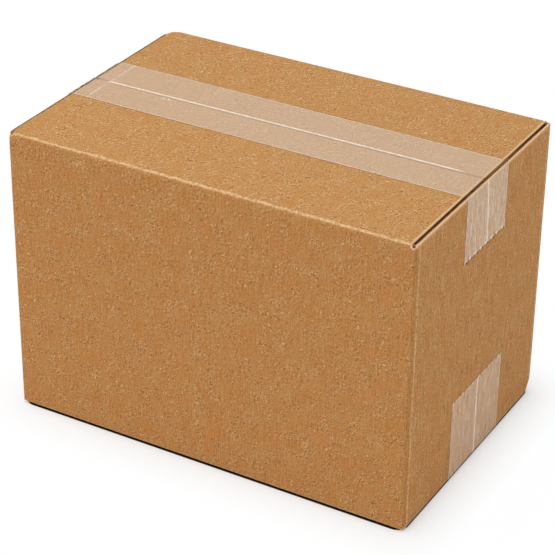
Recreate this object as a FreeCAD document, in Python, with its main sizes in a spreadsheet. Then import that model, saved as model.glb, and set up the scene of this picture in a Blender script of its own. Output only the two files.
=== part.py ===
"""A small slotted carton of single-wall corrugated board, folded shut and taped.

The blank is one piece of board: four walls joined by vertical folds, a glue tab
that closes them into a ring, two major flaps on the long walls and two minor flaps
on the end walls, at the top and again at the bottom. The minor flaps lie under the
major ones. One strip of packing tape runs along the top seam and another along the
bottom seam, and both turn down the end walls.

X is the length, Y the width and Z the height. The lowest face of the bottom tape
is at Z = 0, and the carton stands centred over the origin. Lengths are millimetres.
"""
import FreeCAD, Part
import math
import os
import Sketcher

SIZES = (
    ("carton_length", 240, "outside, over the two end walls"),
    ("carton_width", 160, "outside, over the two long walls"),
    ("carton_height", 168.8, "outside, over the closed flaps"),
    ("board", 3, "thickness of the corrugated board"),
    ("inside_bend", 0.2, "radius on the inner side of every fold"),
    ("seam_gap", 1, "between the two major flaps where they meet"),
    ("layer_gap", 0.3, "between a major flap and the minor flaps under it"),
    ("side_gap", 0.8, "between a minor flap and the long walls beside it"),
    ("crest_width", 2.1, "rounded crest of an end wall beside the major flaps"),
    ("crest_drop", 1, "how far that crest lies below the major flaps"),
    ("end_gap", 0.8, "open line between that crest and the major flaps"),
    ("slot_floor", 1.6, "depth at a corner where the slot between two flaps stops"),
    ("slot_hole", 0.9, "radius of the slot's rounded end"),
    ("slot_hole_depth", 5, "how deep the rounded end can be seen into"),
    ("slot_hole_inset", 1.7, "from the long wall's face to the middle of the rounded end"),
    ("corner_web", 0.7, "how far the corner reaches past the long wall's inner face"),
    ("tab_width", 35, "glue tab, from the fold to its free edge"),
    ("tab_relief", 4, "between the glue tab and the minor flaps"),
    ("tab_taper", 8, "slope at each end of the glue tab"),
    ("joint_setback", 1.4, "from the back wall's face to the end wall's cut edge"),
    ("glue_line", 0.15, "glue between the end wall and the fold of the tab"),
    ("film", 0.08, "thickness of the packing tape"),
    ("teeth", 15, "teeth across a cut end of the tape"),
    ("tooth_depth", 1.3, "depth of the cut between two teeth"),
    ("tooth_tip", 0.3, "flat left at the tip of a tooth"),
    ("top_tape_width", 48, "tape along the top seam"),
    ("top_tape_tail", 38, "length that it turns down each end wall"),
    ("top_tape_shift", 0.5, "from the seam to the middle of the tape"),
    ("bottom_tape_width", 60, "tape along the bottom seam"),
    ("bottom_tape_tail", 50, "length that it turns up each end wall"),
    ("bottom_tape_shift", 3, "from the seam to the middle of the tape"),
)

# Places that several pieces share, measured from the middle of the carton
END = "size.carton_length / 2"
SIDE = "size.carton_width / 2"
TOP = "size.carton_height / 2"
FOLD = "(size.board + size.inside_bend)"
FLAP_REACH = f"({SIDE} - size.seam_gap / 2)"
MINOR_TOP = f"({TOP} - size.board - size.layer_gap)"
CREST_RADIUS = "size.crest_width / 2"
CREST_CENTRE = f"({TOP} - size.crest_drop - {CREST_RADIUS})"
TAPE_BEND = f"({CREST_RADIUS} + size.crest_drop)"
BEYOND = 5


def make_sheet(doc):
    """Write the driving sizes, one to a row, each under the word that names it."""
    sheet = doc.addObject("Spreadsheet::Sheet", "size")
    for row, (name, number, meaning) in enumerate(SIZES, start=1):
        sheet.set(f"A{row}", meaning)
        sheet.set(f"B{row}", str(number))
        sheet.setAlias(f"B{row}", name)
    doc.recompute()


def origin_feature(body, role):
    """The body's own origin plane or axis with this role."""
    return next(item for item in body.Origin.OriginFeatures if item.Role == role)


def new_sketch(body, name, role):
    """An empty sketch that lies on one of the body's origin planes."""
    sketch = body.newObject("Sketcher::SketchObject", name)
    sketch.AttachmentSupport = (origin_feature(body, role), [""])
    sketch.MapMode = "FlatFace"
    return sketch


def bind(sketch, constraint, expression):
    """Add a dimension to the sketch and tie it to the sheet."""
    index = sketch.addConstraint(constraint)
    sketch.setExpression(f"Constraints[{index}]", expression)


def arc_between(start, end, radius, turn):
    """The short arc from start to end; turn is 1 to the left and -1 to the right."""
    chord = end - start
    half = chord.Length / 2
    rise = math.sqrt(max(radius * radius - half * half, 0))
    left = FreeCAD.Vector(-chord.y, chord.x, 0).normalize()
    centre = (start + end) * 0.5 + left * (rise * turn)
    circle = Part.Circle(centre, FreeCAD.Vector(0, 0, 1), radius)
    first, last = (start, end) if turn > 0 else (end, start)
    angles = [math.atan2(point.y - centre.y, point.x - centre.x) for point in (first, last)]
    return Part.ArcOfCircle(circle, *angles)


def outline(sketch, corners):
    """Draw one closed outline.

    A corner is (across, up), or (across, up, radius, turn) where an arc leads to it.
    Every place and radius is an expression of the sheet's sizes.
    """
    points = [FreeCAD.Vector(*(sketch.evalExpression(text) for text in corner[:2]), 0)
              for corner in corners]
    edges = []
    for index, start in enumerate(points):
        target = (index + 1) % len(corners)
        end = points[target]
        if len(corners[target]) == 2:
            edges.append((sketch.addGeometry(Part.LineSegment(start, end)), 1, 2))
            continue
        radius, turn = corners[target][2:]
        arc = arc_between(start, end, sketch.evalExpression(radius), turn)
        geometry = sketch.addGeometry(arc)
        edges.append((geometry, 1, 2) if turn > 0 else (geometry, 2, 1))
        bind(sketch, Sketcher.Constraint("Radius", geometry, arc.Radius), radius)
    for index, (geometry, start, end) in enumerate(edges):
        following, following_start, _ = edges[(index + 1) % len(edges)]
        sketch.addConstraint(Sketcher.Constraint("Coincident", geometry, end, following, following_start))
        point = points[index]
        across, up = corners[index][:2]
        bind(sketch, Sketcher.Constraint("DistanceX", -1, 1, geometry, start, point.x), across)
        bind(sketch, Sketcher.Constraint("DistanceY", -1, 1, geometry, start, point.y), up)


def rounded_rectangle(across, up, bend):
    """Corners of a rectangle about the origin, half sizes given, with rounded corners."""
    return (
        (f"-({across})", f"-({up} - {bend})"),
        (f"-({across} - {bend})", f"-({up})", bend, 1),
        (f"{across} - {bend}", f"-({up})"),
        (across, f"-({up} - {bend})", bend, 1),
        (across, f"{up} - {bend}"),
        (f"{across} - {bend}", up, bend, 1),
        (f"-({across} - {bend})", up),
        (f"-({across})", f"{up} - {bend}", bend, 1),
    )


def rectangle(left, right, low, high):
    """Corners of a plain rectangle."""
    return ((left, low), (right, low), (right, high), (left, high))


def pad(body, sketch, length, symmetric=True):
    """Thicken a sketch, to both sides of its plane or along its normal."""
    feature = body.newObject("PartDesign::Pad", sketch.Label + "_pad")
    feature.Profile = sketch
    feature.setExpression("Length", length)
    feature.SideType = "Symmetric" if symmetric else "One side"
    feature.Refine = True
    body.Document.recompute()
    return feature


def pocket(body, sketch, length=None, symmetric=True):
    """Cut a sketch out of the body, right through it unless a length is given."""
    before = body.Tip.Shape.Volume
    feature = body.newObject("PartDesign::Pocket", sketch.Label + "_pocket")
    feature.Profile = sketch
    feature.SideType = "Symmetric" if symmetric else "One side"
    if length is None:
        feature.Type = "ThroughAll"
    else:
        feature.setExpression("Length", length)
    feature.Refine = True
    body.Document.recompute()
    if not feature.Shape.Volume < before:
        raise RuntimeError(f"{feature.Label} cuts nothing")
    return feature


def mirror(body, feature, roles):
    """Repeat a feature on the other side of each named origin plane."""
    doc = body.Document
    copies = doc.addObject("PartDesign::MultiTransform", feature.Label + "_copies")
    copies.Originals = [feature]
    body.addObject(copies)
    mirrors = []
    for role in roles:
        one = doc.addObject("PartDesign::Mirrored", f"{feature.Label}_over_{role}")
        one.MirrorPlane = (origin_feature(body, role), [""])
        body.addObject(one)
        mirrors.append(one)
    copies.Transformations = mirrors
    copies.Refine = True
    body.Tip = copies
    doc.recompute()
    return copies


def make_walls(body):
    """The ring of four walls, a little higher at the corners than along the end walls."""
    section = new_sketch(body, "wall_section", "XY_Plane")
    outline(section, rounded_rectangle(END, SIDE, FOLD))
    outline(section, rounded_rectangle(f"({END} - size.board)", f"({SIDE} - size.board)", "size.inside_bend"))
    pad(body, section, f"2 * ({TOP} - size.slot_floor)")
    opening = new_sketch(body, "end_wall_top", "YZ_Plane")
    half = f"({SIDE} - size.board - size.corner_web)"
    outline(opening, rectangle(f"-{half}", half, MINOR_TOP, TOP))
    outline(opening, rectangle(f"-{half}", half, f"-({TOP})", f"-{MINOR_TOP}"))
    pocket(body, opening)


def make_major_flaps(body):
    """The long walls' flaps: a rounded fold, then flat board that stops at the seam."""
    profile = new_sketch(body, "major_flap", "YZ_Plane")
    fold_side = f"-({SIDE} - {FOLD})"
    fold_foot = f"({TOP} - {FOLD})"
    seam_side = "-size.seam_gap / 2"
    inner_face = f"({TOP} - size.board)"
    outline(profile, (
        (f"-({SIDE})", fold_foot),
        (fold_side, TOP, FOLD, -1),
        (seam_side, TOP),
        (seam_side, inner_face),
        (fold_side, inner_face),
        (f"-({SIDE} - size.board)", fold_foot, "size.inside_bend", 1),
    ))
    flap = pad(body, profile, f"2 * ({END} - size.crest_width - size.end_gap)")
    mirror(body, flap, ("XY_Plane", "XZ_Plane"))


def make_end_crests(body):
    """The end walls' fold, which stands up as a rounded crest beside the major flaps."""
    profile = new_sketch(body, "end_crest", "XZ_Plane")
    inner_side = f"({END} - size.crest_width)"
    outline(profile, (
        (inner_side, MINOR_TOP),
        (inner_side, CREST_CENTRE),
        (f"({END} - {CREST_RADIUS})", f"({TOP} - size.crest_drop)", CREST_RADIUS, -1),
        (END, CREST_CENTRE, CREST_RADIUS, -1),
        (END, MINOR_TOP),
    ))
    crest = pad(body, profile, "size.carton_width")
    mirror(body, crest, ("XY_Plane", "YZ_Plane"))


def make_minor_flaps(body):
    """The end walls' flaps, cut as long as the major ones, lying just under them."""
    profile = new_sketch(body, "minor_flap", "XZ_Plane")
    wall_face = f"({END} - size.board)"
    under_side = f"({MINOR_TOP} - size.board)"
    free_end = f"({END} - {FLAP_REACH})"
    outline(profile, (
        (wall_face, MINOR_TOP),
        (free_end, MINOR_TOP),
        (free_end, under_side),
        (f"({wall_face} - size.inside_bend)", under_side),
        (wall_face, f"({under_side} - size.inside_bend)", "size.inside_bend", -1),
    ))
    flap = pad(body, profile, f"2 * ({SIDE} - size.board - size.side_gap)")
    mirror(body, flap, ("XY_Plane", "YZ_Plane"))


def round_corners(body):
    """Trim what stands past the rounded walls and the rounded folds of the long walls."""
    plan = new_sketch(body, "plan_trim", "XY_Plane")
    outline(plan, rectangle(f"-({END} + {BEYOND})", f"{END} + {BEYOND}",
                            f"-({SIDE} + {BEYOND})", f"{SIDE} + {BEYOND}"))
    outline(plan, rounded_rectangle(END, SIDE, FOLD))
    pocket(body, plan)
    section = new_sketch(body, "section_trim", "YZ_Plane")
    outline(section, rectangle(f"-({SIDE} + {BEYOND})", f"{SIDE} + {BEYOND}",
                               f"-({TOP} + {BEYOND})", f"{TOP} + {BEYOND}"))
    outline(section, rounded_rectangle(SIDE, TOP, FOLD))
    pocket(body, section)


def make_slot_ends(body):
    """The rounded end of the slot between two flaps, at each of the eight corners."""
    circle = new_sketch(body, "slot_end", "XY_Plane")
    circle.setExpression("AttachmentOffset.Base.z", TOP)
    across = f"({END} - size.crest_width - size.end_gap / 2)"
    back = f"-({SIDE} - size.slot_hole_inset)"
    centre = FreeCAD.Vector(circle.evalExpression(across), circle.evalExpression(back), 0)
    radius = circle.evalExpression("size.slot_hole")
    hole = circle.addGeometry(Part.Circle(centre, FreeCAD.Vector(0, 0, 1), radius))
    bind(circle, Sketcher.Constraint("Radius", hole, radius), "size.slot_hole")
    bind(circle, Sketcher.Constraint("DistanceX", -1, 1, hole, 3, centre.x), across)
    bind(circle, Sketcher.Constraint("DistanceY", -1, 1, hole, 3, centre.y), back)
    body.Document.recompute()
    slot_end = pocket(body, circle, "size.slot_hole_depth", symmetric=False)
    mirror(body, slot_end, ("XY_Plane", "XZ_Plane", "YZ_Plane"))


def make_glue_joint(body):
    """The tab glued inside the left end wall, and the groove outside where the walls meet."""
    tab = new_sketch(body, "glue_tab", "YZ_Plane")
    wall_face = f"({END} - size.board)"
    tab.setExpression("AttachmentOffset.Base.z", f"-{wall_face}")
    fold_side = f"({SIDE} - size.board)"
    free_edge = f"({fold_side} - size.tab_width)"
    fold_half = f"({MINOR_TOP} - size.board - size.tab_relief)"
    free_half = f"({fold_half} - size.tab_taper)"
    outline(tab, (
        (fold_side, f"-{fold_half}"),
        (fold_side, fold_half),
        (free_edge, free_half),
        (free_edge, f"-{free_half}"),
    ))
    pad(body, tab, "size.board", symmetric=False)
    groove = new_sketch(body, "joint_groove", "XY_Plane")
    cut_edge = f"({SIDE} - size.joint_setback)"
    fold_start = f"({SIDE} - {FOLD} + sqrt({FOLD} ^ 2 - ({FOLD} - size.glue_line) ^ 2))"
    fold_end = f"-({wall_face} - {FOLD})"
    outside = f"-({END} + {BEYOND})"
    behind = f"({SIDE} + {BEYOND})"
    outline(groove, (
        (outside, cut_edge),
        (f"-{wall_face}", cut_edge),
        (f"-{wall_face}", fold_start),
        (f"-({wall_face} - size.glue_line)", fold_start),
        (fold_end, SIDE, FOLD, -1),
        (fold_end, behind),
        (outside, behind),
    ))
    pocket(body, groove, f"2 * ({TOP} - {FOLD})")


def make_carton(doc):
    """The folded blank, one solid."""
    body = doc.addObject("PartDesign::Body", "carton")
    make_walls(body)
    make_major_flaps(body)
    make_end_crests(body)
    make_minor_flaps(body)
    round_corners(body)
    make_slot_ends(body)
    make_glue_joint(body)
    body.setExpression("Placement.Base.z", f"size.film + {TOP}")
    return body


def make_tape(doc, name, turn_over):
    """A strip over the seam that bridges to the end walls' crests and turns down them.

    It is modelled on top of the carton, and the bottom one is turned over about X.
    """
    body = doc.addObject("PartDesign::Body", name)
    width = f"size.{name}_width"
    strip = new_sketch(body, f"{name}_strip", "XZ_Plane")
    tail_end = f"({TOP} - size.{name}_tail)"
    bend_side = f"({END} - {TAPE_BEND})"
    bend_foot = f"({TOP} - {TAPE_BEND})"
    outer_bend = f"({TAPE_BEND} + size.film)"
    outer_side = f"({END} + size.film)"
    outer_top = f"({TOP} + size.film)"
    outline(strip, (
        (f"-{outer_side}", tail_end),
        (f"-{outer_side}", bend_foot),
        (f"-{bend_side}", outer_top, outer_bend, -1),
        (bend_side, outer_top),
        (outer_side, bend_foot, outer_bend, -1),
        (outer_side, tail_end),
        (END, tail_end),
        (END, bend_foot),
        (bend_side, TOP, TAPE_BEND, 1),
        (f"-{bend_side}", TOP),
        (f"-({END})", bend_foot, TAPE_BEND, 1),
        (f"-({END})", tail_end),
    ))
    pad(body, strip, width)
    notch = new_sketch(body, f"{name}_notch", "YZ_Plane")
    pitch = f"{width} / size.teeth"
    outline(notch, (
        (f"(-{width} + size.tooth_tip) / 2", tail_end),
        (f"(-{width} + {pitch}) / 2", f"{tail_end} + size.tooth_depth"),
        (f"-{width} / 2 + {pitch} - size.tooth_tip / 2", tail_end),
    ))
    first = pocket(body, notch)
    row = doc.addObject("PartDesign::LinearPattern", f"{name}_teeth")
    row.Originals = [first]
    row.Direction = (origin_feature(body, "Y_Axis"), [""])
    row.setExpression("Length", f"{width} - {pitch}")
    row.setExpression("Occurrences", "size.teeth")
    row.Refine = True
    body.addObject(row)
    body.Tip = row
    body.setExpression("Placement.Base.y", f"size.{name}_shift")
    body.setExpression("Placement.Base.z", f"size.film + {TOP}")
    if turn_over:
        body.Placement.Rotation = FreeCAD.Rotation(FreeCAD.Vector(1, 0, 0), 180)
    return body


def check(doc, pieces):
    """Stop if any object of the document failed or any piece is not one sound solid."""
    for item in doc.Objects:
        if "Invalid" in item.State or "Error" in item.State:
            raise RuntimeError(f"{item.Label} failed: {item.State}")
    for piece in pieces:
        if piece.Shape.isNull() or not piece.Shape.isValid():
            raise RuntimeError(f"{piece.Label} has no sound shape")
        if len(piece.Shape.Solids) != 1:
            raise RuntimeError(f"{piece.Label} is not one solid")


def main():
    doc = FreeCAD.newDocument("slotted_carton")
    make_sheet(doc)
    pieces = [
        make_carton(doc),
        make_tape(doc, "top_tape", turn_over=False),
        make_tape(doc, "bottom_tape", turn_over=True),
    ]
    doc.recompute()
    check(doc, pieces)
    os.makedirs("parts", exist_ok=True)
    for piece in pieces:
        piece.Shape.exportStep(f"parts/{piece.Label}.step")
        print(f"{piece.Label}: {piece.Shape.Volume:.1f} mm3")


main()
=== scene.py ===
from math import cos, pi, radians, sin
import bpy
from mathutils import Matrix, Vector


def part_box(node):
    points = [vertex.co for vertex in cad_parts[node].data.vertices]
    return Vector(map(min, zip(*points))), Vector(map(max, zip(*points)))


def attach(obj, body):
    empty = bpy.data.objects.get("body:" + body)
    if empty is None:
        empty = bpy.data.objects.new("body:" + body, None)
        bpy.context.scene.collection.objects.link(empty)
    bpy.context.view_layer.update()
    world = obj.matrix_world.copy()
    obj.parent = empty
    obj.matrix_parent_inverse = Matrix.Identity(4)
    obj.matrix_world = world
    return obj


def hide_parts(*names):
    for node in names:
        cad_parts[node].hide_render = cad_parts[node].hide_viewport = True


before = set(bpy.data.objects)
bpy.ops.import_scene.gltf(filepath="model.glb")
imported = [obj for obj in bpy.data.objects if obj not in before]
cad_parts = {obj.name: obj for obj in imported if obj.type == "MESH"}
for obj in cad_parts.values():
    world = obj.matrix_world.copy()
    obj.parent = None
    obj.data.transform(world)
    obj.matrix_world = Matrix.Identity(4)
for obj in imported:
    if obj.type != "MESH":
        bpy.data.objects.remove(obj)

from types import SimpleNamespace

import bpy
from bpy.props import FloatProperty, FloatVectorProperty, PointerProperty
from mathutils import Matrix, Vector

bl_info = {
    "name": "Taped shipping carton",
    "version": (1, 0, 0),
    "blender": (4, 5, 0),
    "location": "View3D > Sidebar > Carton",
    "description": "Gives a folded cardboard carton its kraft paper, tape and studio",
    "category": "Object",
}

MM = 0.001
CARTON_LOW, CARTON_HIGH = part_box("carton")
TOP_LOW, TOP_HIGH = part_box("top_tape")
BOTTOM_LOW, BOTTOM_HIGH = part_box("bottom_tape")

# Depths below the carton's outside: the board itself, and all that belongs to its outer skin
BOARD = 3.0 * MM
SKIN = 3.3 * MM

# The materials work in millimetres, from the middle of the carton and from the floor.
HALF_LONG, HALF_WIDE, WALL_TOP = (value / MM for value in CARTON_HIGH)
FLUTE = 6.5  # from one flute to the next, B flute
TOOTH = 3.2  # from one tooth of the strips to the next
TURNED = (118.6, 119.8)  # |x| over which a strip has turned down the end wall
OPEN_LINE = 118.1  # |x| of the open line that a strip bridges beside the crest
SHINE_STARTS = (-109.0, -107.0)  # x where the seam's shine begins at the left end
SHINE_ENDS = (100.0, 108.0)  # x where it fades at the right end
CREASE_X = -108.0  # the ragged crease across the top strip
PUCKER = (-69.0, -3.8)  # x and y of the rough spot beside the seam
# The seam's end is a dark spot of painted shade, where the seam's gap shows dark.
SEAM_END_SHADE = (-116.4, -1.0)  # x and y of the dark knot where the seam reaches the end

# Corners of the carton that were knocked, as signs of x and y, share of the height, and how much
KNOCKS = ((-1, -1, 1, 0.4), (-1, 1, 1, 0.9), (1, 1, 0, 1.0))
# Strips of tape: node, side of the carton, seam's offset in millimetres, lean of the tail's crease
STRIPS = (("top_tape", 1, 0.5, 0.07), ("bottom_tape", -1, 3.6, 0.0))
# Softboxes: name, property with the power, width and place in metres
SOFTBOXES = (
    ("key_softbox", "key", 1.6, (-0.5, -0.3, 1.72)),
    ("front_softbox", "front", 1.4, (-0.7, -1.7, 0.7)),
    ("end_softbox", "end", 1.4, (1.8, -0.5, 0.5)),
)
AIM = Vector((0, 0, 0.08))  # where the softboxes point
WHITE = (1, 1, 1, 1)


def linear(hex_colour):
    """An sRGB hex colour as linear RGBA."""
    parts = [int(hex_colour[i : i + 2], 16) / 255 for i in (1, 3, 5)]
    return (*(p / 12.92 if p <= 0.04045 else ((p + 0.055) / 1.055) ** 2.4 for p in parts), 1.0)


# Settings


def length(name, description, default):
    """A length in metres."""
    return FloatProperty(
        name=name, description=description, default=default, unit="LENGTH", precision=5
    )


def share(name, description, default):
    """A part of the whole, 0 to 1."""
    return FloatProperty(
        name=name, description=description, default=default, min=0.0, max=1.0, subtype="FACTOR"
    )


def angle(name, description, default):
    """An angle, given in degrees."""
    return FloatProperty(
        name=name, description=description, default=radians(default), subtype="ANGLE"
    )


def power(name, description, default):
    """A lamp's power in watts."""
    return FloatProperty(
        name=name, description=description, default=default, min=0.0, unit="POWER"
    )


def strength(name, description, default):
    """A plain strength, 0 or more."""
    return FloatProperty(
        name=name, description=description, default=default, min=0.0, subtype="UNSIGNED"
    )


def colour(name, description, default):
    """A colour, given as sRGB hex."""
    return FloatVectorProperty(
        name=name,
        description=description,
        default=linear(default),
        size=4,
        subtype="COLOR",
        min=0.0,
        max=1.0,
    )


class BoardSettings(bpy.types.PropertyGroup):
    """The folded corrugated board and its kraft paper."""

    cell: length("Cell", "Grid on the walls and flaps", 4 * MM)
    sway: length("Sway", "How far a wall bows in from flat", 0.25 * MM)
    sway_width: length("Sway width", "Width of one bow", 70 * MM)
    crushed: length("Crushed", "How far a knocked corner is pushed in", 1.1 * MM)
    crushed_width: length("Crushed width", "How far round a knocked corner gives", 7 * MM)
    ochre: colour("Ochre patches", "Kraft liner, redder patches", "#C28243")
    olive: colour("Olive patches", "Kraft liner, greener patches", "#C18B4E")
    light_fibre: colour("Light fibres", "Pale fibres and specks", "#E6BD86")
    # Bark specks and dark fibres, and also painted shade over the lid's rear half and along the
    # upright and rear folds.
    dark_fibre_and_shade: colour("Dark fibres", "Bark specks and dark fibres", "#8A5A2B")
    # Rubbed paper, and also painted highlight: along the front top fold, beside the upright folds,
    # on the right end's lips and crest, and round the slot holes.
    wear_and_highlight: colour("Worn paper", "Paper rubbed pale along a fold", "#EBC493")
    # Also laid as painted shade: in the open line, in the slot holes, along the left end's top
    # fold, at the foot, and beside the strips and between their teeth.
    gap: colour("Gap", "Cut flutes and shade in a narrow gap", "#2E1A0C")
    grain: strength("Grain", "Contrast of the paper's fibres", 0.82)
    flap_end: length("Flap end", "From the middle to the cut ends of the long flaps", 117.1 * MM)
    flute: length("Flute", "Distance from one flute to the next", FLUTE * MM)


class TapeSettings(bpy.types.PropertyGroup):
    """The two strips of clear packing tape."""

    film: colour("Film", "Milky polypropylene film with its glue", "#D0BFAA")
    tail_film: colour("Tail film", "The film on the end walls, warmer against flutes", "#E0C8AD")
    # Whitened creases, and also painted highlight: the shine over the seam, and the lit cut edges
    # and teeth tips.
    pale: colour("Pale lines", "Film bridging the seam, and its cut edges", "#F4E2CE")
    shadow: colour("Dark lines", "Shade beside a raised crease", "#8A6748")
    # Painted shade where the seam's gap shows dark at the strip's end.
    seam_end_shade: colour("Knot", "Dirt caught where the seam reaches the end", "#3A3328")
    top_cover: share("Top cover", "How much of the paper the top strip hides", 0.27)
    bottom_cover: share("Bottom cover", "How much of the paper the bottom strip hides", 0.28)
    thickness: length("Thickness", "Film with its glue", 0.05 * MM)
    lift: length("Lift", "Air between glue and paper", 0.03 * MM)
    cell: length("Cell", "Grid on the film", 4 * MM)


class StudioSettings(bpy.types.PropertyGroup):
    """Floor, lamps and camera."""

    azimuth: angle("Azimuth", "Camera, round from the front", 29.6238)
    elevation: angle("Elevation", "Camera, above the floor", 29.8318)
    roll: angle("Roll", "Camera, about its own axis", 0.7035)
    distance: length("Distance", "Camera from its target", 1.15143)
    target: FloatVectorProperty(
        name="Target",
        description="Where the camera looks",
        default=(-0.001344, 0.0, 0.076329),
        subtype="XYZ",
        unit="LENGTH",
    )
    lens: FloatProperty(
        name="Lens",
        description="Focal length on a 36 mm sensor",
        default=136.195,
        unit="CAMERA",
    )
    sky: strength("Sky", "Strength of the white surround", 0.55)
    key: power("Key lamp", "Softbox overhead", 17.6)
    front: power("Front lamp", "Softbox before the long wall", 1.5)
    end: power("End lamp", "Softbox beside the end wall", 4.4)
    floor: colour("Floor", "Seamless white paper", "#F8F8F8")
    contact: colour("Contact", "The floor in the dark under the carton's foot", "#272727")
    shade_width: length("Shade width", "Soft shade on the floor round the foot", 28 * MM)
    foot_corner: length("Foot corner", "Radius of the foot's corners on the floor", 6.5 * MM)


# Node tools


def add(tree, kind, sockets=None, **settings):
    """Adds a shader node with its settings, values and links, and gives its first output."""
    made = tree.nodes.new("ShaderNode" + kind)
    for name, value in settings.items():
        setattr(made, name, value)
    for key, value in (sockets or {}).items():
        into = made.inputs[key] if isinstance(key, int) else next(
            s for s in made.inputs if s.enabled and s.name == key
        )
        if isinstance(value, bpy.types.NodeSocket):
            tree.links.new(value, into)
        else:
            into.default_value = value
    return next((s for s in made.outputs if s.enabled), None) or made


def blank_material(name):
    """An empty node material."""
    material = bpy.data.materials.new(name)
    material.use_nodes = True
    material.node_tree.nodes.clear()
    return material, material.node_tree


def combine(tree, operation, *values):
    """Takes values together by one operation, from the first to the last."""
    result = values[0]
    for value in values[1:]:
        result = add(tree, "Math", {0: result, 1: value}, operation=operation)
    return result


def times(tree, *values):
    """The product of several values."""
    return combine(tree, "MULTIPLY", *values)


def plus(tree, *values):
    """The sum of several values."""
    return combine(tree, "ADD", *values)


def near(tree, value, place, reach, soft):
    """1 within reach of a place along one coordinate, fading to 0 over the soft width."""
    off = add(tree, "Math", {0: plus(tree, value, -place)}, operation="ABSOLUTE")
    return add(
        tree,
        "MapRange",
        {"Value": off, "From Min": reach, "From Max": reach + soft, "To Min": 1.0, "To Max": 0.0},
        interpolation_type="SMOOTHSTEP",
    )


def distance_to(tree, vector, place):
    """How far a point lies from a place."""
    apart = add(tree, "VectorMath", {0: vector, 1: place}, operation="DISTANCE")
    return apart.node.outputs["Value"]


def painted(tree, base, layers):
    """Lays colours over a base, each as far as its factor says."""
    tone = base[:]
    for factor, over in layers:
        tone = add(
            tree, "Mix", {"Factor": factor, "A": tone, "B": over[:]}, data_type="RGBA"
        )
    return tone


def on_carton(tree):
    """Where a point lies on the folded carton, in millimetres, as a vector and by coordinate."""
    coordinates = add(tree, "TexCoord").node.outputs["Object"]
    place = add(tree, "VectorMath", {0: coordinates, 3: 1 / MM}, operation="SCALE")
    x = add(tree, "SeparateXYZ", {"Vector": place})
    return SimpleNamespace(
        place=place,
        x=x,
        y=x.node.outputs[1],
        z=x.node.outputs[2],
        side=add(tree, "Math", {0: x}, operation="ABSOLUTE"),
    )


def beads(tree, y, centre):
    """0 to 1 in turn along a cut end: every second tooth of the strip stands up into the light."""
    turn = times(tree, plus(tree, y, -centre - TOOTH / 2), pi / TOOTH)
    wave = add(tree, "Math", {0: turn}, operation="COSINE")
    return add(tree, "MapRange", {"Value": wave, "From Min": -0.4, "From Max": 0.4})


# Kraft paper


def strokes(tree, where, turn, width, long, low, high):
    """Short wavy strokes of one direction, 0 to 1, on a flat pattern in millimetres."""
    # Each direction is shifted to a part of the noise of its own.
    laid = add(
        tree,
        "Mapping",
        {
            "Vector": where,
            "Rotation": (0, 0, radians(turn)),
            "Scale": (width, long, 1),
            "Location": (turn * 3.1, turn * 1.7, 0),
        },
        vector_type="TEXTURE",
    )
    grain = add(
        tree,
        "TexNoise",
        {"Vector": laid, "Scale": 1.0, "Detail": 1.0, "Roughness": 0.5},
        noise_dimensions="2D",
    )
    return add(
        tree,
        "MapRange",
        {"Value": grain, "From Min": low, "From Max": high},
        interpolation_type="SMOOTHSTEP",
    )


def crossed_strokes(tree, where):
    """Fibres in three directions, most along the flutes."""
    return plus(
        tree,
        strokes(tree, where, 8, 0.45, 2.4, 0.55, 0.66),
        strokes(tree, where, 68, 0.45, 1.6, 0.57, 0.68),
        strokes(tree, where, -55, 0.45, 1.6, 0.57, 0.68),
    )


def fold_shade_wear_and_highlight(tree, at, ragged, drift, walls):
    """Painted shade along the upright and rear top folds, and pale broken lines along the folds:
    rubbed paper, with painted highlight on the front top fold and beside the upright folds.
    """
    wandering = plus(tree, at.v, drift)
    rear = add(
        tree,
        "MapRange",
        {"Value": at.y, "From Min": HALF_WIDE - 12, "From Max": HALF_WIDE - 8},
    )
    front = combine(tree, "SUBTRACT", 1.0, rear)
    # The front top fold has a pale broken line: rubbed paper and painted highlight.
    rub_and_highlight = times(
        tree,
        near(tree, wandering, WALL_TOP + 0.3, 0.4, 1.1),
        plus(tree, 0.25, times(tree, ragged, 0.75)),
        front,
    )
    foot = times(tree, near(tree, wandering, 1.6, 0.2, 1.0), ragged, 0.55)
    # On the flat blank each upright fold lies half the end wall's width from that wall's middle.
    round_girth = add(tree, "Math", {0: at.u}, operation="ABSOLUTE")
    middle = plus(tree, round_girth, -HALF_LONG - HALF_WIDE)
    off_middle = add(tree, "Math", {0: middle}, operation="ABSOLUTE")
    inset = combine(tree, "SUBTRACT", HALF_WIDE, off_middle)
    # On the end wall beside each upright fold, a pale ragged stripe is painted highlight.
    corner = near(tree, plus(tree, inset, times(tree, drift, 0.6)), 3.9, 0.3, 1.0)
    pale_wear_and_highlight = plus(tree, rub_and_highlight, foot, times(tree, corner, ragged, 0.6))
    # Along each upright fold a darker stripe, stronger at the rear, is painted shade, and so is a
    # line along the rear top fold.
    upright = times(
        tree, near(tree, inset, 0.2, 1.1, 1.2), walls, plus(tree, 0.22, times(tree, rear, 0.3))
    )
    rear_fold_shade = times(tree, near(tree, at.v, WALL_TOP + 1.2, 0.6, 0.8), rear, 0.7)
    return combine(tree, "MAXIMUM", upright, rear_fold_shade), combine(tree, "MINIMUM", pale_wear_and_highlight, 1.0)


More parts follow.
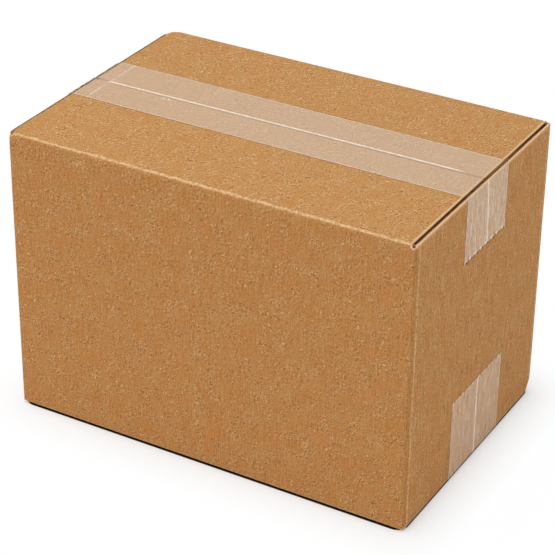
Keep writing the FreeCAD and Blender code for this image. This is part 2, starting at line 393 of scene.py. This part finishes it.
def cut_marks(tree, at, ragged, sizes):
    """The lid's cut ends: dark cut flutes and painted shade in the open line, painted highlight on
    the right end's pale lips and crest, and painted shade in the slot holes, along the left fold
    and at the foot.
    """
    cut_end = sizes.flap_end / MM
    over = combine(tree, "GREATER_THAN", at.z, WALL_TOP - 2.4)
    lip_height = combine(tree, "GREATER_THAN", at.z, WALL_TOP - 0.8)
    right_end = combine(tree, "GREATER_THAN", at.x, 0.0)
    # On the right end, the flaps' cut lips and the end wall's crest beyond the open line are
    # painted pale: painted highlight, broken like rubbed paper.
    lip = times(
        tree,
        near(tree, at.side, cut_end - 0.4, 0.45, 0.5),
        lip_height,
        plus(tree, 0.45, times(tree, ragged, 0.5)),
        right_end,
    )
    crest = times(
        tree,
        near(tree, at.side, cut_end + 1.4, 0.75, 0.9),
        over,
        plus(tree, 0.7, times(tree, ragged, 0.3)),
        right_end,
    )
    # Along the left end's top fold the paper is painted dark: painted shade.
    left_fold_shade = times(tree, near(tree, at.x, -HALF_LONG + 0.3, 0.7, 1.2), over, 0.9)
    # In the open line the flaps' cut ends are painted dark: the cut flutes, and painted shade.
    sunk = times(
        tree,
        near(tree, at.side, cut_end + 0.35, 0.45, 0.1),
        near(tree, at.y, 0.0, HALF_WIDE - 3.2, 0.5),
        near(tree, at.z, WALL_TOP - 1.45, 0.55, 0.15),
    )
    # The paper within 0.4 mm of the floor is painted dark: painted shade where the foot meets the
    # floor.
    foot = add(
        tree,
        "MapRange",
        {"Value": at.z, "From Min": 0.05, "From Max": 0.4, "To Min": 0.85, "To Max": 0.0},
    )
    # The slot between two flaps ends in a small round hole: its rim gets a painted highlight, and
    # its inside painted shade.
    mirrored = add(tree, "VectorMath", {0: at.place}, operation="ABSOLUTE")
    slot_end = (cut_end + 0.9, HALF_WIDE - 0.2, WALL_TOP - 1.1)
    hole = distance_to(tree, mirrored, slot_end)
    return (
        (left_fold_shade, sizes.gap),
        (combine(tree, "MAXIMUM", lip, crest), sizes.wear_and_highlight),
        (sunk, sizes.gap),
        (foot, sizes.gap),
        (near(tree, hole, 0.0, 1.7, 0.5), sizes.wear_and_highlight),
        (near(tree, hole, 0.0, 0.9, 0.3), sizes.gap),
    )


def strip_shade(tree, at, ragged, end_wall, low, high, up):
    """Shade on the paper beside a strip's lifted edges, and in dots between its teeth."""
    centre, reach = (high.y + low.y) / 2 / MM, (high.y - low.y) / 2 / MM
    end_z = (low.z if up > 0 else high.z) / MM
    off = add(tree, "Math", {0: plus(tree, at.y, -centre)}, operation="ABSOLUTE")
    beyond = times(tree, plus(tree, at.z, -end_z), up)
    rim = times(
        tree,
        near(tree, off, reach + 0.35, 0.25, 0.5),
        combine(tree, "GREATER_THAN", beyond, 0.0),
        plus(tree, 0.15, times(tree, ragged, 0.2)),
    )
    teeth = times(
        tree,
        near(tree, beyond, 0.2, 0.8, 0.4),
        combine(tree, "LESS_THAN", off, reach),
        combine(tree, "SUBTRACT", 1.0, beads(tree, at.y, centre)),
        end_wall,
        0.6 if up > 0 else 0.2,
    )
    return combine(tree, "MAXIMUM", rim, teeth)


def kraft_linerboard(sizes):
    """Unbleached kraft liner on corrugated board: matt tan paper with fibres, specks and clouds."""
    material, tree = blank_material("kraft_linerboard")
    at = on_carton(tree)
    blank = add(tree, "UVMap", uv_map="blank")
    flat = add(tree, "VectorMath", {0: blank, 3: 1 / MM}, operation="SCALE")
    at.u = add(tree, "SeparateXYZ", {"Vector": flat})
    at.v = at.u.node.outputs[1]
    # Random fields on the flat blank, by scale per millimetre, detail and roughness
    ripple, cloud, cluster, grain, drift, ragged = (
        add(
            tree,
            "TexNoise",
            {"Vector": flat, "Scale": scale, "Detail": detail, "Roughness": roughness},
            noise_dimensions="2D",
        )
        for scale, detail, roughness in (
            (0.5, 1.0, 0.5),
            (0.075, 3.0, 0.6),
            (0.12, 2.0, 0.5),
            (1.5, 2.0, 0.7),
            (0.22, 2.0, 0.5),
            (0.6, 3.0, 0.7),
        )
    )
    lid = add(
        tree, "MapRange", {"Value": at.z, "From Min": WALL_TOP - 3.0, "From Max": WALL_TOP - 0.5}
    )
    end_wall = add(
        tree,
        "MapRange",
        {"Value": at.side, "From Min": HALF_LONG - 3.0, "From Max": HALF_LONG - 0.5},
    )
    walls = combine(tree, "SUBTRACT", 1.0, lid)

    # Cloudy patches 8 to 20 mm wide, between ochre and olive. The lid leans further to the paler
    # olive than the walls, and the end walls a little, as painted sheen; the lid's rear half is a
    # little darker, as painted shade.
    bias = plus(tree, -0.035, times(tree, lid, 0.18), times(tree, end_wall, 0.07))
    patch = add(
        tree, "MapRange", {"Value": plus(tree, cloud, bias), "From Min": 0.38, "From Max": 0.72}
    )
    rear_shade = add(
        tree, "MapRange", {"Value": at.y, "From Min": -10.0, "From Max": 40.0, "To Max": 0.06}
    )

    # Fibres are about 20 microns thick, so they are drawn twenty times coarser to show. Each has
    # its shade beside it. They lie in clusters, with smoother paper between.
    cluster = add(
        tree,
        "MapRange",
        {"Value": cluster, "From Min": 0.4, "From Max": 0.62, "To Min": 0.4, "To Max": 1.0},
    )
    wave = add(
        tree,
        "VectorMath",
        {0: ripple.node.outputs["Color"], 1: (0.5, 0.5, 0.5)},
        operation="SUBTRACT",
    )
    wave = add(tree, "VectorMath", {0: wave, 3: 3.0}, operation="SCALE")
    wavy = add(tree, "VectorMath", {0: flat, 1: wave}, operation="ADD")
    beside = add(tree, "VectorMath", {0: wavy, 1: (-0.35, 0.55, 0.0)}, operation="ADD")
    light, dark = crossed_strokes(tree, wavy), crossed_strokes(tree, beside)
    # Faint streaks run along the flutes, strongest on the end walls.
    streak = add(tree, "Mapping", {"Vector": flat, "Scale": (0.7, 14, 1)}, vector_type="TEXTURE")
    streak = add(
        tree, "TexNoise", {"Vector": streak, "Scale": 1.0, "Detail": 2.0}, noise_dimensions="2D"
    )
    streaky = plus(tree, 0.25, times(tree, walls, 0.5), times(tree, end_wall, 0.9))
    level = plus(
        tree,
        times(tree, plus(tree, grain, -0.5), cluster, sizes.grain * 1.4),
        times(tree, plus(tree, streak, -0.5), streaky, sizes.grain),
        times(tree, light, cluster, plus(tree, 0.62, times(tree, lid, 0.4)), sizes.grain),
        times(tree, dark, cluster, plus(tree, 0.78, times(tree, lid, 0.28)), -sizes.grain),
    )

    # Bark specks and pale specks under a millimetre across
    speck = add(tree, "TexVoronoi", {"Vector": flat, "Scale": 0.42}, voronoi_dimensions="2D")
    chance = add(tree, "SeparateColor", {"Color": speck.node.outputs["Color"]})
    dot = add(
        tree,
        "MapRange",
        {"Value": speck, "From Min": 0.2, "From Max": 0.08},
        interpolation_type="SMOOTHSTEP",
    )
    dot = times(tree, dot, cluster, 0.8)

    drift = times(tree, plus(tree, drift, -0.5), 2.2)
    ragged = add(tree, "MapRange", {"Value": ragged, "From Min": 0.4, "From Max": 0.58})
    fold_shade, wear_and_highlight = fold_shade_wear_and_highlight(tree, at, ragged, drift, walls)
    tone = painted(
        tree,
        sizes.ochre,
        (
            (patch, sizes.olive),
            (times(tree, rear_shade, lid), sizes.dark_fibre_and_shade),
            (combine(tree, "MAXIMUM", level, 0.0), sizes.light_fibre),
            (combine(tree, "MAXIMUM", times(tree, level, -1.0), 0.0), sizes.dark_fibre_and_shade),
            (times(tree, dot, combine(tree, "GREATER_THAN", chance, 0.88)), sizes.dark_fibre_and_shade),
            (times(tree, dot, combine(tree, "LESS_THAN", chance, 0.14)), sizes.light_fibre),
            (fold_shade, sizes.dark_fibre_and_shade),
            (wear_and_highlight, sizes.wear_and_highlight),
            *cut_marks(tree, at, ragged, sizes),
            (strip_shade(tree, at, ragged, end_wall, TOP_LOW, TOP_HIGH, 1), sizes.gap),
            (strip_shade(tree, at, ragged, end_wall, BOTTOM_LOW, BOTTOM_HIGH, -1), sizes.gap),
        ),
    )

    # Flutes telegraph through the liner as a faint washboard.
    turn = times(tree, at.u, 2 * pi * MM / sizes.flute)
    washboard = add(tree, "Math", {0: turn}, operation="SINE")
    height = plus(
        tree,
        times(tree, washboard, 0.014),
        times(tree, grain, 0.06),
        times(tree, light, 0.02),
        times(tree, dark, -0.02),
    )
    bump = add(tree, "Bump", {"Height": height, "Strength": 1.0, "Distance": MM})
    rough = add(
        tree,
        "MapRange",
        {"Value": grain, "From Min": 0.3, "From Max": 0.7, "To Min": 0.78, "To Max": 0.92},
    )
    paper = add(
        tree,
        "BsdfPrincipled",
        {
            "Base Color": tone,
            "Roughness": rough,
            "IOR": 1.45,
            "Specular IOR Level": 0.3,
            "Normal": bump,
        },
    )
    add(tree, "OutputMaterial", {"Surface": paper})
    return material


# Packing tape


def film_marks(tree, at, ragged, drift, low, high, seam, lean, tail):
    """Bright lines on a strip, the shade beside its seam, and painted shade where the seam's gap
    shows dark at its left end.
    """
    top = lean > 0
    lid = combine(tree, "SUBTRACT", 1.0, tail)
    # The film stands off the board over the seam and shines there. It runs a little askew along
    # the lid, and on the tails the raised crease leans.
    slope = times(tree, combine(tree, "SUBTRACT", high.z / MM, at.z), lean, tail)
    skew = times(tree, at.x, lid, 0.009 if top else 0.0)
    middle = combine(tree, "SUBTRACT", at.y, plus(tree, slope, skew))
    starts, ends = (
        add(tree, "MapRange", {"Value": at.x, "From Min": first, "From Max": last})
        for first, last in (SHINE_STARTS, SHINE_ENDS)
    )
    shine = times(tree, combine(tree, "SUBTRACT", 1.0, ends), starts)
    line = times(
        tree,
        near(tree, middle, seam, 0.5, 0.5),
        combine(tree, "MAXIMUM", shine, tail),
        plus(tree, 0.7, times(tree, ragged, 0.3)),
    )
    shade = times(
        tree,
        near(tree, middle, seam - 1.4, 0.2, 0.5),
        lid,
        plus(tree, 0.2, times(tree, combine(tree, "MAXIMUM", shine, tail), 0.4)),
    )
    # The strip's cut edges catch the light, and so do the tips of its teeth.
    edges = (near(tree, at.y, high.y / MM, 0.4, 0.4), near(tree, at.y, low.y / MM, 0.4, 0.4))
    edge = times(
        tree, combine(tree, "MAXIMUM", *edges), plus(tree, 0.45, times(tree, ragged, 0.55))
    )
    tips = times(
        tree,
        near(tree, at.z, (low.z if top else high.z) / MM, 1.0, 0.9),
        tail,
        plus(tree, 0.25, beads(tree, at.y, (low.y + high.y) / 2 / MM)),
        2.2 if top else 0.7,
    )
    bright = [line, times(tree, edge, 0.75), times(tree, tips, 0.7)]
    seam_end_shade = 0.0
    if top:
        # Near its left end the strip was pressed down and puckered: a ragged crease across it, and
        # a rough spot beside the seam. Where the seam reaches the end, a dark spot is painted shade
        # of the seam's gap.
        crease = times(
            tree,
            near(tree, plus(tree, at.x, drift), CREASE_X, 0.2, 0.7),
            plus(tree, 0.35, times(tree, ragged, 0.65)),
            0.54,
        )
        pucker = add(
            tree,
            "TexNoise",
            {"Vector": at.place, "Scale": 0.7, "Detail": 3.0, "Roughness": 0.7},
        )
        pucker = times(
            tree,
            add(tree, "MapRange", {"Value": pucker, "From Min": 0.5, "From Max": 0.58}),
            near(tree, at.x, PUCKER[0], 3.0, 2.0),
            near(tree, at.y, PUCKER[1], 0.6, 1.2),
            0.8,
        )
        bright += [crease, pucker]
        from_seam_end = distance_to(tree, at.place, (*SEAM_END_SHADE, high.z / MM))
        seam_end_shade = times(tree, near(tree, from_seam_end, 0.0, 0.8, 0.7), 0.8)
    return combine(tree, "MINIMUM", plus(tree, *bright), 1.0), shade, seam_end_shade


def packing_film(name, sizes, cover, seam, lean):
    """Clear polypropylene film with acrylic glue: smooth, a little milky, paper showing through."""
    material, tree = blank_material(name)
    at = on_carton(tree)
    top = lean > 0
    low, high = (TOP_LOW, TOP_HIGH) if top else (BOTTOM_LOW, BOTTOM_HIGH)
    tail = add(
        tree, "MapRange", {"Value": at.side, "From Min": TURNED[0], "From Max": TURNED[1]}
    )
    # Random fields on the film, by scale per millimetre, detail and roughness
    grain, haze, ragged = (
        add(
            tree,
            "TexNoise",
            {"Vector": at.place, "Scale": scale, "Detail": detail, "Roughness": roughness},
        )
        for scale, detail, roughness in ((1.1, 2.0, 0.5), (0.07, 3.0, 0.5), (0.35, 3.0, 0.7))
    )
    drift = times(tree, plus(tree, ragged, -0.5), 5.0)
    ragged = add(tree, "MapRange", {"Value": ragged, "From Min": 0.38, "From Max": 0.6})
    bright, shade, seam_end_shade = film_marks(tree, at, ragged, drift, low, high, seam, lean, tail)

    # Flutes press through the tails in upright stripes.
    comb = add(
        tree, "Mapping", {"Vector": at.place, "Scale": (4.0, 1.2, 9.0)}, vector_type="TEXTURE"
    )
    comb = add(tree, "TexNoise", {"Vector": comb, "Scale": 1.0, "Detail": 2.0, "Roughness": 0.7})
    comb = times(tree, plus(tree, comb, -0.5), tail)
    flutes = add(tree, "Math", {0: times(tree, at.y, 2 * pi / FLUTE)}, operation="SINE")
    # Over the open line beside the crest nothing backs the film, so it hides less there.
    bridge = times(
        tree, near(tree, at.side, OPEN_LINE, 1.25, 0.25), plus(tree, 0.9, times(tree, ragged, 0.1))
    )
    lid = combine(tree, "SUBTRACT", 1.0, tail)
    opacity = plus(
        tree,
        cover,
        times(tree, tail, 0.11 if top else 0.0),
        times(tree, at.x, lid, 0.0001),
        times(tree, plus(tree, haze, -0.5), 0.08),
        times(tree, plus(tree, grain, -0.5), 0.35),
        times(tree, comb, 1.7 if top else 1.1),
        times(tree, flutes, tail, 0.035),
        times(tree, bright, 0.45),
        times(tree, shade, 0.4),
    )
    opacity = times(tree, opacity, combine(tree, "SUBTRACT", 1.0, bridge))
    tone = painted(
        tree,
        sizes.film,
        (
            (tail, sizes.tail_film),
            (bright, sizes.pale),
            (shade, sizes.shadow),
            (seam_end_shade, sizes.seam_end_shade),
        ),
    )
    height = plus(tree, times(tree, grain, 0.03), times(tree, comb, 0.2))
    film = add(
        tree,
        "BsdfPrincipled",
        {
            "Base Color": tone,
            "Roughness": 0.38,
            "IOR": 1.49,
            "Alpha": combine(tree, "MAXIMUM", opacity, seam_end_shade),
            "Normal": add(tree, "Bump", {"Height": height, "Strength": 1.0, "Distance": MM}),
        },
    )
    # Real film passes nearly all the light that falls on it, so lamps reach the paper undimmed.
    path = add(tree, "LightPath").node.outputs
    lamps = combine(tree, "MAXIMUM", path["Is Shadow Ray"], path["Is Diffuse Ray"])
    clear = add(tree, "BsdfTransparent", {"Color": WHITE})
    add(tree, "OutputMaterial", {"Surface": add(tree, "MixShader", {0: lamps, 1: film, 2: clear})})
    return material


# Studio materials


def seen(tree):
    """1 for what the camera sees, straight, mirrored or through the film."""
    path = add(tree, "LightPath").node.outputs
    rays = (path[name] for name in ("Is Camera Ray", "Is Glossy Ray", "Is Transmission Ray"))
    return combine(tree, "MINIMUM", plus(tree, *rays), 1.0)


def white_paper_floor(sizes):
    """Seamless white paper, seen as pure white but for a soft shade and a thin line of painted
    contact shadow.
    """
    material, tree = blank_material("white_paper_floor")
    place = add(tree, "TexCoord").node.outputs["Object"]
    place = add(tree, "VectorMath", {0: place}, operation="ABSOLUTE")
    # The foot's folds are rounded, so the floor shows a little way under them: 0.9 mm at the end
    # walls and 0.8 mm at the long ones.
    round_x, round_y = sizes.foot_corner + 0.9 * MM, sizes.foot_corner + 0.8 * MM
    corner = (CARTON_HIGH.x - round_x, CARTON_HIGH.y - round_y, 0)
    past = add(tree, "VectorMath", {0: place, 1: corner}, operation="SUBTRACT")
    past = add(tree, "VectorMath", {0: past, 1: (0, 0, 0)}, operation="MAXIMUM")
    away = add(tree, "VectorMath", {0: past}, operation="LENGTH").node.outputs["Value"]
    away = plus(tree, away, -sizes.foot_corner)
    shade, contact = (
        add(tree, "MapRange", {"Value": away, "From Min": first, "From Max": last})
        for first, last in ((0.0, sizes.shade_width), (0.1 * MM, 0.6 * MM))
    )
    # The white glow fades out towards the foot so that the real shade shows there, and within 0.6
    # mm of the foot the paper itself is painted the contact colour: painted contact shadow.
    glow = times(tree, combine(tree, "POWER", shade, 0.25), contact, 0.985, seen(tree))
    paper = painted(tree, sizes.contact, ((contact, sizes.floor),))
    lit = add(tree, "BsdfDiffuse", {"Color": paper})
    white = add(tree, "Emission", {"Color": WHITE, "Strength": 1.0})
    add(tree, "OutputMaterial", {"Surface": add(tree, "MixShader", {0: glow, 1: lit, 2: white})})
    return material


def white_surround(sizes):
    """A white backdrop that lights the scene less than it shows."""
    world = bpy.data.worlds.new("white_surround")
    world.use_nodes = True
    tree = world.node_tree
    tree.nodes.clear()
    soft = add(tree, "Background", {"Color": WHITE, "Strength": sizes.sky})
    white = add(tree, "Background", {"Color": WHITE, "Strength": 1.0})
    both = add(tree, "MixShader", {0: seen(tree), 1: soft, 2: white})
    add(tree, "OutputWorld", {"Surface": both})
    return world


# Shaping


def pick_out(piece):
    """Makes one piece the only selected one, and active."""
    bpy.ops.object.select_all(action="DESELECT")
    piece.select_set(True)
    bpy.context.view_layer.objects.active = piece


def copy_of(node, name):
    """The CAD node's solid as a new piece, its triangles merged into flat faces."""
    piece = bpy.data.objects.new(name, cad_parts[node].data.copy())
    piece.data.name = name
    bpy.context.scene.collection.objects.link(piece)
    pick_out(piece)
    bpy.ops.mesh.customdata_custom_splitnormals_clear()
    bpy.ops.object.mode_set(mode="EDIT")
    bpy.ops.mesh.select_all(action="SELECT")
    bpy.ops.mesh.remove_doubles(threshold=1e-6)
    bpy.ops.mesh.dissolve_limited(angle_limit=radians(0.1))
    bpy.ops.object.mode_set(mode="OBJECT")
    return piece


def pick_faces(piece, wanted):
    """Shows only the faces that a test on centre and normal picks, selected in edit mode."""
    bpy.ops.object.mode_set(mode="EDIT")
    bpy.ops.mesh.reveal()
    bpy.ops.mesh.select_mode(type="FACE")
    bpy.ops.mesh.select_all(action="DESELECT")
    bpy.ops.object.mode_set(mode="OBJECT")
    for face in piece.data.polygons:
        face.select = wanted(face.center, face.normal)
    bpy.ops.object.mode_set(mode="EDIT")
    bpy.ops.mesh.hide(unselected=True)
    bpy.ops.mesh.select_all(action="SELECT")


def slice_into_cells(low, high, cell):
    """Bisects the shown faces along all three axes, then shows the whole mesh again."""
    for axis in range(3):
        count = max(1, round((high[axis] - low[axis]) / cell))
        normal = [0.0, 0.0, 0.0]
        normal[axis] = 1.0
        for step in range(1, count):
            point = [0.0, 0.0, 0.0]
            point[axis] = low[axis] + (high[axis] - low[axis]) * step / count
            bpy.ops.mesh.select_all(action="SELECT")
            bpy.ops.mesh.bisect(plane_co=point, plane_no=normal)
    bpy.ops.mesh.reveal()
    bpy.ops.object.mode_set(mode="OBJECT")


def outside(centre, normal):
    """True for a face on the carton's outside, folds and crests with it."""
    return (
        abs(centre.x) > CARTON_HIGH.x - SKIN and normal.x * centre.x > 0 or
        abs(centre.y) > CARTON_HIGH.y - SKIN and normal.y * centre.y > 0 or
        centre.z > CARTON_HIGH.z - SKIN and normal.z > 0.1 or
        centre.z < CARTON_LOW.z + SKIN and normal.z < -0.1
    )


def sway(piece, name, depth, width, rest=0.0):
    """Pushes the surface in by a soft random field and by the rest, never out."""
    field = bpy.data.textures.new(name, "CLOUDS")
    field.noise_scale = width
    field.noise_depth = 1
    push = piece.modifiers.new(name, "DISPLACE")
    push.texture = field
    push.texture_coords = "LOCAL"
    push.direction = "NORMAL"
    push.strength = depth
    push.mid_level = 1.0 + rest / depth
    bpy.context.view_layer.objects.active = piece
    bpy.ops.object.modifier_apply(modifier=push.name)


def crush(piece, corner, depth, width):
    """Pushes one corner in towards the middle, its surroundings following softly."""
    corner = Vector(corner)
    pick_out(piece)
    bpy.ops.object.mode_set(mode="EDIT")
    bpy.ops.mesh.select_mode(type="VERT")
    bpy.ops.mesh.select_all(action="DESELECT")
    bpy.ops.object.mode_set(mode="OBJECT")
    nearest = min(piece.data.vertices, key=lambda vertex: (vertex.co - corner).length)
    nearest.select = True
    bpy.ops.object.mode_set(mode="EDIT")
    outwards = corner - Vector((0, 0, CARTON_HIGH.z / 2))
    bpy.ops.transform.translate(
        value=[-depth if value > 0 else depth for value in outwards],
        use_proportional_edit=True,
        proportional_edit_falloff="SMOOTH",
        proportional_size=width,
    )
    bpy.ops.object.mode_set(mode="OBJECT")


def thicken(piece, thickness):
    """Gives a sheet its thickness, inwards."""
    wall = piece.modifiers.new("thickness", "SOLIDIFY")
    wall.thickness = thickness
    wall.offset = -1.0
    bpy.ops.object.modifier_apply(modifier=wall.name)


def lay_flat(piece):
    """Gives the board the UV map of its flat blank, in metres: round the girth, and upwards."""
    half_long, half_wide = CARTON_HIGH.x, CARTON_HIGH.y
    layer = piece.data.uv_layers.new(name="blank")
    for face in piece.data.polygons:
        centre, normal = face.center, face.normal
        capped = abs(normal.z) > 0.75
        faces_end = capped or abs(normal.x) > abs(normal.y)
        by_end = abs(centre.x) > half_long - BOARD and faces_end
        for loop in face.loop_indices:
            x, y, z = piece.data.vertices[piece.data.loops[loop].vertex_index].co
            inward = half_long - abs(x) if by_end else half_wide - abs(y)
            rise = inward if centre.z > CARTON_HIGH.z / 2 else -inward
            if by_end:
                u = (x + y + half_wide) if centre.x > 0 else (x - y - half_wide)
            elif centre.y < 0:
                u = x
            else:
                u = 2 * half_long + 2 * half_wide - x
            layer.data[loop].uv = (u, z + rise)


def finish_piece(piece, node, material):
    """Gives a piece its material and smooth curves, and ties it to the CAD node it replaces."""
    piece.data.materials.clear()
    piece.data.materials.append(material)
    pick_out(piece)
    bpy.ops.object.shade_smooth_by_angle(angle=radians(35))
    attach(piece, "root")
    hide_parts(node)


# Operators


class CARTON_OT_board(bpy.types.Operator):
    """Shape the folded board and give it its kraft paper"""

    bl_idname = "carton.board"
    bl_label = "Folded board"

    def execute(self, context):
        sizes = context.scene.carton_board
        tape = context.scene.carton_tape
        piece = copy_of("carton", "folded_board")
        pick_faces(piece, outside)
        slice_into_cells(CARTON_LOW, CARTON_HIGH, sizes.cell)
        lay_flat(piece)
        sway(piece, "wall_sway", sizes.sway, sizes.sway_width, rest=tape.lift)
        for along, across, up, much in KNOCKS:
            corner = (CARTON_HIGH.x * along, CARTON_HIGH.y * across, CARTON_HIGH.z * up)
            crush(piece, corner, sizes.crushed * much, sizes.crushed_width * (0.4 + 0.6 * much))
        finish_piece(piece, "carton", kraft_linerboard(sizes))
        return {"FINISHED"}


class CARTON_OT_tape(bpy.types.Operator):
    """Lay the two strips of packing tape over the seams"""

    bl_idname = "carton.tape"
    bl_label = "Packing tape"

    def execute(self, context):
        sizes = context.scene.carton_tape
        board = context.scene.carton_board
        for node, up, seam, lean in STRIPS:
            cover = sizes.top_cover if up > 0 else sizes.bottom_cover
            piece = copy_of(node, node + "_film")
            # The strip becomes its outer face alone, and gets its real thickness back at the end.
            pick_faces(
                piece,
                lambda centre, normal: normal.x * (1 if centre.x > 0 else -1) + normal.z * up < 0.3,
            )
            bpy.ops.mesh.delete(type="FACE")
            bpy.ops.mesh.reveal()
            slice_into_cells(*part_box(node), sizes.cell)
            sway(piece, "film_sway", board.sway, board.sway_width)
            thicken(piece, sizes.thickness)
            film = packing_film(node + "_polypropylene", sizes, cover, seam, lean)
            finish_piece(piece, node, film)
        return {"FINISHED"}


class CARTON_OT_studio(bpy.types.Operator):
    """Set up the white floor, the softboxes and the camera"""

    bl_idname = "carton.studio"
    bl_label = "Studio"

    def execute(self, context):
        sizes = context.scene.carton_studio
        scene = context.scene
        scene.view_settings.view_transform = "Standard"
        scene.world = white_surround(sizes)

        bpy.ops.object.select_all(action="DESELECT")
        bpy.ops.mesh.primitive_plane_add(size=12.0, location=(0, 0, 0))
        floor = context.object
        floor.name = "floor"
        floor.data.materials.append(white_paper_floor(sizes))

        for name, watts, wide, where in SOFTBOXES:
            bpy.ops.object.light_add(type="AREA", location=where)
            lamp = context.object
            lamp.name = name
            lamp.data.energy = getattr(sizes, watts)
            lamp.data.size = wide
            aimed = (Vector(where) - AIM).to_track_quat("Z", "Y").to_matrix().to_4x4()
            lamp.matrix_world = Matrix.Translation(where) @ aimed

        a, e, roll = sizes.azimuth, sizes.elevation, sizes.roll
        back = Vector((sin(a) * cos(e), -cos(a) * cos(e), sin(e)))
        right = Vector((cos(a), sin(a), 0))
        up = back.cross(right)
        across = right * cos(roll) + up * sin(roll)
        upward = up * cos(roll) - right * sin(roll)
        turned = Matrix((across, upward, back)).transposed().to_4x4()
        bpy.ops.object.camera_add()
        camera = context.object
        camera.name = "photo_camera"
        away = Vector(sizes.target) + back * sizes.distance
        camera.matrix_world = Matrix.Translation(away) @ turned
        camera.data.lens = sizes.lens
        camera.data.sensor_width = 36.0
        scene.camera = camera
        return {"FINISHED"}


class CARTON_PT_sidebar(bpy.types.Panel):
    """Sizes, colours and steps of the carton"""

    bl_idname = "CARTON_PT_sidebar"
    bl_label = "Taped shipping carton"
    bl_space_type = "VIEW_3D"
    bl_region_type = "UI"
    bl_category = "Carton"

    def draw(self, context):
        for step, group in GROUPS.items():
            part = self.layout.box()
            part.operator("carton." + step)
            settings = getattr(context.scene, "carton_" + step)
            for name in group.__annotations__:
                part.prop(settings, name)


# Each step's operator is carton.STEP, and its settings are kept on the scene as carton_STEP.
GROUPS = {"board": BoardSettings, "tape": TapeSettings, "studio": StudioSettings}
CLASSES = (
    *GROUPS.values(),
    CARTON_OT_board,
    CARTON_OT_tape,
    CARTON_OT_studio,
    CARTON_PT_sidebar,
)


def register():
    """Adds the settings, the operators and the sidebar."""
    for each in CLASSES:
        bpy.utils.register_class(each)
    for step, group in GROUPS.items():
        setattr(bpy.types.Scene, "carton_" + step, PointerProperty(type=group))


def unregister():
    """Takes them away again."""
    for step in GROUPS:
        delattr(bpy.types.Scene, "carton_" + step)
    for each in reversed(CLASSES):
        bpy.utils.unregister_class(each)


def main():
    """Dresses the carton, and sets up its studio."""
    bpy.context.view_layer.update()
    register()
    bpy.ops.carton.board()
    bpy.ops.carton.tape()
    bpy.ops.carton.studio()


if __name__ == "__main__":
    main()
